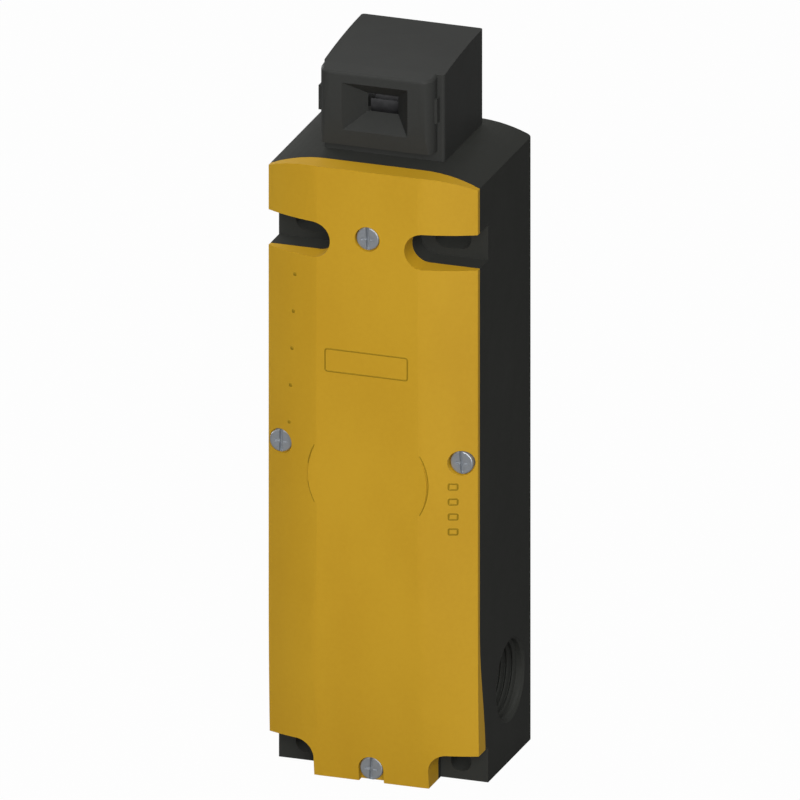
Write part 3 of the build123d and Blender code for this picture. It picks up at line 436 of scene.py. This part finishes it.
def cover_face(x):
    """Y of the cover's face above its bend: flat in the middle, an arc of SIDE_RADIUS towards the sides."""
    along = np.abs(x) - SIDE_CENTRE[0]
    arc = SIDE_CENTRE[1] - np.sqrt(SIDE_RADIUS ** 2 - along ** 2)
    return FRONT + np.where(np.abs(x) > FLAT_HALF, arc, 0.0)


def raised_pip(x, z, size, height, rings=8, spokes=32):
    """Low pip on the cover: a square with round corners, whose X and Z are size / 2 times the signed roots
    of the cosine and the sine, and whose height falls as 1 - r^4 to its rim."""
    reach = np.linspace(0, 1, rings)[:, None]
    angle = np.linspace(0, 2 * math.pi, spokes, endpoint=False)[None, :]
    px = x + np.sign(np.cos(angle)) * np.abs(np.cos(angle)) ** 0.5 * size / 2 * reach
    pz = z + np.sign(np.sin(angle)) * np.abs(np.sin(angle)) ** 0.5 * size / 2 * reach
    rise = height * (1 - reach ** 4) - RIM_TUCK + 0 * angle
    top = np.stack((px, cover_face(px) - rise, pz), axis=-1)
    base = np.stack((px[-1:], cover_face(px[-1:]) + MARK_ROOT, pz[-1:]), axis=-1)
    centre = np.broadcast_to(base.mean(axis=1, keepdims=True), base.shape)
    points = np.concatenate((top, base, centre))
    return points, lattice_faces(rings + 2, spokes, wrap_columns=True)


def raised_frame(low_x, high_x, low_z, high_z, corner, width, height, arc=10):
    """Thin raised frame on the cover: a rounded rectangle carried round with a low trapezoid section."""
    centres = ((high_x - corner, high_z - corner, 0), (low_x + corner, high_z - corner, 1),
               (low_x + corner, low_z + corner, 2), (high_x - corner, low_z + corner, 3))
    across = np.array((0.0, 0.3, 0.7, 1.0, 1.0, 0.0)) * width
    rise = np.array((0.0, 1.0, 1.0, 0.0, 0.0, 0.0)) * height - np.array((0, 0, 0, 0, 1, 1)) * MARK_ROOT
    loops = []
    for cx, cz, quarter in centres:
        angle = np.linspace(0, math.pi / 2, arc)[:, None] + quarter * math.pi / 2
        radius = corner - across[None, :]
        px = cx + radius * np.cos(angle)
        pz = cz + radius * np.sin(angle)
        loops.append(np.stack((px, cover_face(px) - rise[None, :], pz), axis=-1))
    points = np.concatenate(loops)
    return points, lattice_faces(len(points), len(across), wrap_rows=True, wrap_columns=True)


def raised_arc(middle_z, radius, start, end, width, height, steps=40):
    """Thin bead on the cover along an arc about X = 0: a low trapezoid section that fades out over its first
    and last ARC_FADE of the way."""
    along = np.linspace(0, 1, steps)[:, None]
    angle = start + (end - start) * along
    fade = np.clip(np.minimum(along, 1 - along) / ARC_FADE, 0, 1)
    across = np.array((-0.5, -0.2, 0.2, 0.5, 0.5, -0.5))[None, :] * width
    rise = np.array((0.0, 1.0, 1.0, 0.0, 0.0, 0.0))[None, :] * height * fade
    sunk = np.array((0, 0, 0, 0, 1, 1))[None, :] * MARK_ROOT
    px = (radius + across) * np.cos(angle)
    pz = middle_z + (radius + across) * np.sin(angle)
    points = np.stack((px, cover_face(px) - rise + sunk, pz), axis=-1)
    return points, lattice_faces(steps, points.shape[1], wrap_columns=True)


# Screws

HEAD_RADIUS = 2.92 * MM
HEAD_HEIGHT = 2.0 * MM
HEAD_EDGE = 0.35 * MM
SHANK_RADIUS = 1.5 * MM
SHANK_LENGTH = 12.0 * MM
SLOT_HALF = 0.38 * MM
CROSS_HALF = 0.34 * MM
CROSS_REACH = 1.55 * MM
SLOT_DEPTH = 1.10 * MM
CROSS_DEPTH = 0.45 * MM
RECESS_WALL = 0.10 * MM
EDGE_STEPS = 7


def screw(x, top_y, z, turn, rings=44, spokes=192):
    """Cheese-head screw: a profile turned about its axis, with a slot and a short cross sunk into the top.
    The sink is SLOT_DEPTH or CROSS_DEPTH times a steep ramp of the distance inside the slot or the cross."""
    flat = np.linspace(0, HEAD_RADIUS - HEAD_EDGE, rings)
    bend = np.linspace(0, math.pi / 2, EDGE_STEPS)[1:]
    radius = np.concatenate((
        flat, HEAD_RADIUS - HEAD_EDGE + HEAD_EDGE * np.sin(bend),
        (HEAD_RADIUS, SHANK_RADIUS, SHANK_RADIUS, 0.0),
    ))
    depth = np.concatenate((
        0 * flat, HEAD_EDGE * (1 - np.cos(bend)),
        (HEAD_HEIGHT, HEAD_HEIGHT, HEAD_HEIGHT + SHANK_LENGTH, HEAD_HEIGHT + SHANK_LENGTH),
    ))
    angle = np.linspace(0, 2 * math.pi, spokes, endpoint=False)
    across = radius[:, None] * np.cos(angle)
    up = radius[:, None] * np.sin(angle)
    in_slot = np.clip((SLOT_HALF - np.abs(across)) / RECESS_WALL + 0.5, 0, 1)
    in_cross = np.clip((CROSS_HALF - np.abs(up)) / RECESS_WALL + 0.5, 0, 1)
    in_cross = in_cross * np.clip((CROSS_REACH - np.abs(across)) / RECESS_WALL + 0.5, 0, 1)
    on_top = (np.arange(len(radius)) < rings + EDGE_STEPS - 2)[:, None]
    sink = np.maximum(SLOT_DEPTH * in_slot, CROSS_DEPTH * in_cross) * on_top
    sunk = np.maximum(depth[:, None], sink)
    px = x + across * math.cos(turn) - up * math.sin(turn)
    pz = z + across * math.sin(turn) + up * math.cos(turn)
    return np.stack((px, top_y + sunk, pz), axis=-1), lattice_faces(len(radius), spokes, wrap_columns=True)


# Thread of the open cable entry

THREAD_PITCH = 1.5 * MM
THREAD_HEIGHT = 0.75 * MM
THREAD_ROOT = 0.05 * MM
THREAD_FREE = 0.6
THREAD_FADE = 0.35


def entry_thread(centre_y, centre_z, mouth_x, inner_x, wall_radius, spokes=96):
    """Inside thread: a truncated ridge carried round a helix, which leaves THREAD_FREE turns free at each
    end and fades out over THREAD_FADE turns."""
    turns = (mouth_x - inner_x) / THREAD_PITCH - 2 * THREAD_FREE
    steps = int(turns * spokes)
    turn = np.linspace(0, turns, steps)[:, None]
    fade = np.clip(np.minimum(turn, turns - turn) / THREAD_FADE, 0, 1)
    across = np.array((-0.44, -0.10, 0.10, 0.44, 0.44, -0.44))[None, :] * THREAD_PITCH
    rise = np.array((0.0, 1.0, 1.0, 0.0, 0.0, 0.0))[None, :] * THREAD_HEIGHT * fade
    backing = np.array((0, 0, 0, 0, 1, 1))[None, :] * THREAD_ROOT
    radius = wall_radius - rise + backing
    angle = turn * 2 * math.pi
    px = inner_x + (turn + THREAD_FREE) * THREAD_PITCH + across
    points = np.stack((px, centre_y + radius * np.cos(angle), centre_z + radius * np.sin(angle)), axis=-1)
    return points, lattice_faces(steps, points.shape[1], wrap_columns=True)


def capped(surface):
    """The same tube with each end drawn in to one point, so that it is closed."""
    points, _ = surface
    first = np.broadcast_to(points[:1].mean(axis=1, keepdims=True), points[:1].shape)
    last = np.broadcast_to(points[-1:].mean(axis=1, keepdims=True), points[-1:].shape)
    closed = np.concatenate((first, points, last))
    return closed, lattice_faces(len(closed), points.shape[1], wrap_columns=True)


# The pieces

HEAD_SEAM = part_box("head_housing")[0][1]
EDGES = {
    "housing": ("housing_shell", 0.35 * MM, None),
    "cover": ("cover_shell", 0.22 * MM, None),
    "head_housing": ("head_shell", 0.30 * MM, HEAD_SEAM),
    "entry_plate": ("entry_funnel_plate", 0.16 * MM, HEAD_SEAM),
    "blanking_plug_left": ("left_plug", 0.25 * MM, None),
    "blanking_plug_bottom": ("bottom_plug", 0.25 * MM, None),
}
for node, (name, edge, seam) in EDGES.items():
    rounded(node, name, edge, seam)

spring("armature_spring", "armature_coil", "armature")
spring("plunger_spring", "plunger_coil", "plunger")

for node, piece in frame["nodes"].items():
    _, slot_name = node_facts(node)
    piece.data.materials.clear()
    piece.data.materials.append(FINISHES[slot_name])

# Each cover screw has its X, its Z, the depth of its head's top under the cover's front and its turn
SCREW_SINK = 0.4 * MM
LOW_SEAT = EDGE_FALL - 1.9 * MM + SCREW_SINK
SIDE_SCREW_X = 23.3 * MM
SIDE_SCREW_Z = 86.1 * MM
COVER_SCREWS = (
    (0.0, 142.5 * MM, SCREW_SINK, 0.03),
    (SIDE_SCREW_X, SIDE_SCREW_Z, LOW_SEAT, 0.05),
    (-SIDE_SCREW_X, SIDE_SCREW_Z, LOW_SEAT, -0.02),
    (0.0, 3.5 * MM, LOW_SEAT, -0.04),
)
screws = new_piece(
    "cover_screw_heads", [screw(x, FRONT + seat, z, turn) for x, z, seat, turn in COVER_SCREWS],
    FINISHES["zinc_screw"], "body", sharp=35,
)
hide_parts("cover_screws")

ENTRY = next(row for row in frame["record"]["mounts"] if row["name"] == "cable_entry_right")
ENTRY_RADIUS = ENTRY["dims"]["r_mm"] * MM
ENTRY_MOUTH = HALF_WIDTH - 0.3 * MM
ENTRY_INNER = HALF_WIDTH - 8.0 * MM
thread = entry_thread(ENTRY["pos_m"][1], ENTRY["pos_m"][2], ENTRY_MOUTH, ENTRY_INNER, ENTRY_RADIUS)
new_piece("entry_thread", [capped(thread)], FINISHES["black_housing"], "body")

# Small marks of the cover, all left blank: five pips down its left side
PIP_TOP_X = -19.1 * MM
PIP_TOP_Z = 130.6 * MM
PIP_STEP_X = -0.43 * MM
PIP_STEP_Z = -9.72 * MM
PIP_SIZE = 0.9 * MM
PIP_HEIGHT = 0.22 * MM
pips = [raised_pip(PIP_TOP_X + PIP_STEP_X * i, PIP_TOP_Z + PIP_STEP_Z * i, PIP_SIZE, PIP_HEIGHT)
        for i in range(5)]
new_piece("cover_pips", pips, MARK_AND_SHADE_LINE, "body", sharp=60)

# The frame of the label's place
LABEL_X = (-11.0 * MM, 10.6 * MM)
LABEL_Z = (106.8 * MM, 113.0 * MM)
LABEL_CORNER = 0.8 * MM
LABEL_LINE = 0.38 * MM
LABEL_HEIGHT = 0.12 * MM
label = raised_frame(*LABEL_X, *LABEL_Z, LABEL_CORNER, LABEL_LINE, LABEL_HEIGHT)
new_piece("label_frame", [label], MARK_AND_SHADE_LINE, "body", sharp=30)

# Four small frames in a column under the right screw
TALLY_X = 20.2 * MM
TALLY_TOP = 80.9 * MM
TALLY_STEP = 3.9 * MM
TALLY_WIDTH = 2.5 * MM
TALLY_TALL = 1.9 * MM
TALLY_CORNER = 0.5 * MM
TALLY_LINE = 0.42 * MM
TALLY_HEIGHT = 0.14 * MM
tallies = [raised_frame(TALLY_X, TALLY_X + TALLY_WIDTH, top - TALLY_TALL, top,
                        TALLY_CORNER, TALLY_LINE, TALLY_HEIGHT)
           for top in (TALLY_TOP - TALLY_STEP * i for i in range(4))]
new_piece("tally_frames", tallies, MARK_AND_SHADE_LINE, "body", sharp=60)

# Painted shade at the fine edge of the cover's round field: a low dark bead, seen on its right and in two
# parts on its left
DISC_Z = 79.9 * MM
DISC_RADIUS = 15.55 * MM
DISC_LINE = 0.26 * MM
DISC_HEIGHT = 0.08 * MM
DISC_SPANS = ((-0.52, 0.52), (math.pi - 0.5, math.pi - 0.15), (math.pi + 0.15, math.pi + 0.5))
disc_shade_beads = [capped(raised_arc(DISC_Z, DISC_RADIUS, *span, DISC_LINE, DISC_HEIGHT)) for span in DISC_SPANS]
new_piece("disc_edge_shade_bead", disc_shade_beads, MARK_AND_SHADE_LINE, "body", sharp=60)


# Floor, light and camera

SEEN_WHITE = 0.975
FLOOR_GREY = 0.35
MIRRORED_LOSS = 0.7
FLOOR_HALF = 4.0
FLOOR_DROP = 0.1 * MM
LAMP_SIZE = 1.2
LAMP_DISTANCE = 2.0


def direction(azimuth, elevation):
    """Unit vector away from the object: azimuth 0 is straight in front and 90 to the right, in degrees."""
    turn, lift = math.radians(azimuth), math.radians(elevation)
    return Vector((math.sin(turn) * math.cos(lift), -math.cos(turn) * math.cos(lift), math.sin(lift)))


def floor():
    """Pale floor that keeps the object's shadow; the camera sees it nearly white, and reflections darker."""
    size = FLOOR_HALF
    corners = [(-size, -size, 0), (size, -size, 0), (size, size, 0), (-size, size, 0)]
    mesh = bpy.data.meshes.new("floor")
    mesh.from_pydata(corners, [], [(0, 1, 2, 3)])
    finish = Finish("floor_white", {"Roughness": 0.9})
    seen = finish.node("ShaderNodeLightPath", {}, output="Is Camera Ray") * SEEN_WHITE
    mirrored = finish.node("ShaderNodeLightPath", {}, output="Is Glossy Ray")
    finish.set("Base Color", FLOOR_GREY - mirrored * FLOOR_GREY * MIRRORED_LOSS)
    glow = finish.node("ShaderNodeEmission", {})
    matt = Value(finish, finish.shader.outputs[0])
    finish.feed(finish.output.inputs[0], finish.node("ShaderNodeMixShader", {}, seen, matt, glow))
    mesh.materials.append(finish.material)
    piece = bpy.data.objects.new("floor", mesh)
    piece.location = (0, 0, -FLOOR_DROP)
    bpy.context.scene.collection.objects.link(piece)


def lamp(name, azimuth, elevation, strength, shadow=True):
    """A square area lamp that looks at the middle of the object from a direction in degrees. Facing
    a lamp of strength 1, a matt surface renders as bright as its colour. Without a shadow it is a fill
    light, which reaches into slots and bores."""
    light = bpy.data.lights.new(name, "AREA")
    light.shape = "SQUARE"
    light.size = LAMP_SIZE
    light.energy = strength * math.pi ** 2 * LAMP_DISTANCE ** 2
    light.use_shadow = shadow
    piece = bpy.data.objects.new(name, light)
    away = direction(azimuth, elevation)
    middle = (Vector(cad_low) + Vector(cad_high)) / 2
    piece.location = middle + away * LAMP_DISTANCE
    piece.rotation_euler = away.to_track_quat("Z", "Y").to_euler()
    bpy.context.scene.collection.objects.link(piece)


def sky(strength):
    """Even pale surroundings, which the camera sees as white."""
    world = bpy.data.worlds.new("studio")
    bpy.context.scene.world = world
    world.use_nodes = True
    tree = world.node_tree
    tree.nodes.clear()
    output = tree.nodes.new("ShaderNodeOutputWorld")
    mixed = tree.nodes.new("ShaderNodeMixShader")
    even = tree.nodes.new("ShaderNodeBackground")
    even.inputs["Strength"].default_value = strength
    white = tree.nodes.new("ShaderNodeBackground")
    rays = tree.nodes.new("ShaderNodeLightPath")
    tree.links.new(rays.outputs["Is Camera Ray"], mixed.inputs[0])
    tree.links.new(even.outputs[0], mixed.inputs[1])
    tree.links.new(white.outputs[0], mixed.inputs[2])
    tree.links.new(mixed.outputs[0], output.inputs[0])


CAMERA_AZIMUTH = 19.27
CAMERA_ELEVATION = 20.86
PIXELS_PER_METRE = 4104.7
IMAGE_SIZE = 800
AIM_HEIGHT = 92 * MM
AIM_RIGHT = -6.65 * MM
AIM_UP = -6.82 * MM
CAMERA_DISTANCE = 1.2


def photo_camera():
    """Parallel camera at the photograph's angle: 19 degrees to the right and 21 degrees above the front."""
    away = direction(CAMERA_AZIMUTH, CAMERA_ELEVATION)
    turn = math.radians(CAMERA_AZIMUTH)
    right = Vector((math.cos(turn), math.sin(turn), 0))
    up = away.cross(right)
    data = bpy.data.cameras.new("camera")
    data.type = "ORTHO"
    data.ortho_scale = IMAGE_SIZE / PIXELS_PER_METRE
    camera = bpy.data.objects.new("camera", data)
    aim = Vector((0, cad_high.y, AIM_HEIGHT)) + right * AIM_RIGHT + up * AIM_UP
    turned = Matrix((right, up, away)).transposed().to_4x4()
    camera.matrix_world = Matrix.Translation(aim + away * CAMERA_DISTANCE) @ turned
    bpy.context.scene.collection.objects.link(camera)
    bpy.context.scene.camera = camera


floor()
sky(0.16)
lamp("front", 25, 20, 0.84)
lamp("top", -5, 70, 0.58, shadow=False)
lamp("back", 207, 52, 0.14)
lamp("rear", 240, 14, 0.60)
photo_camera()
bpy.context.scene.view_settings.view_transform = "Standard"
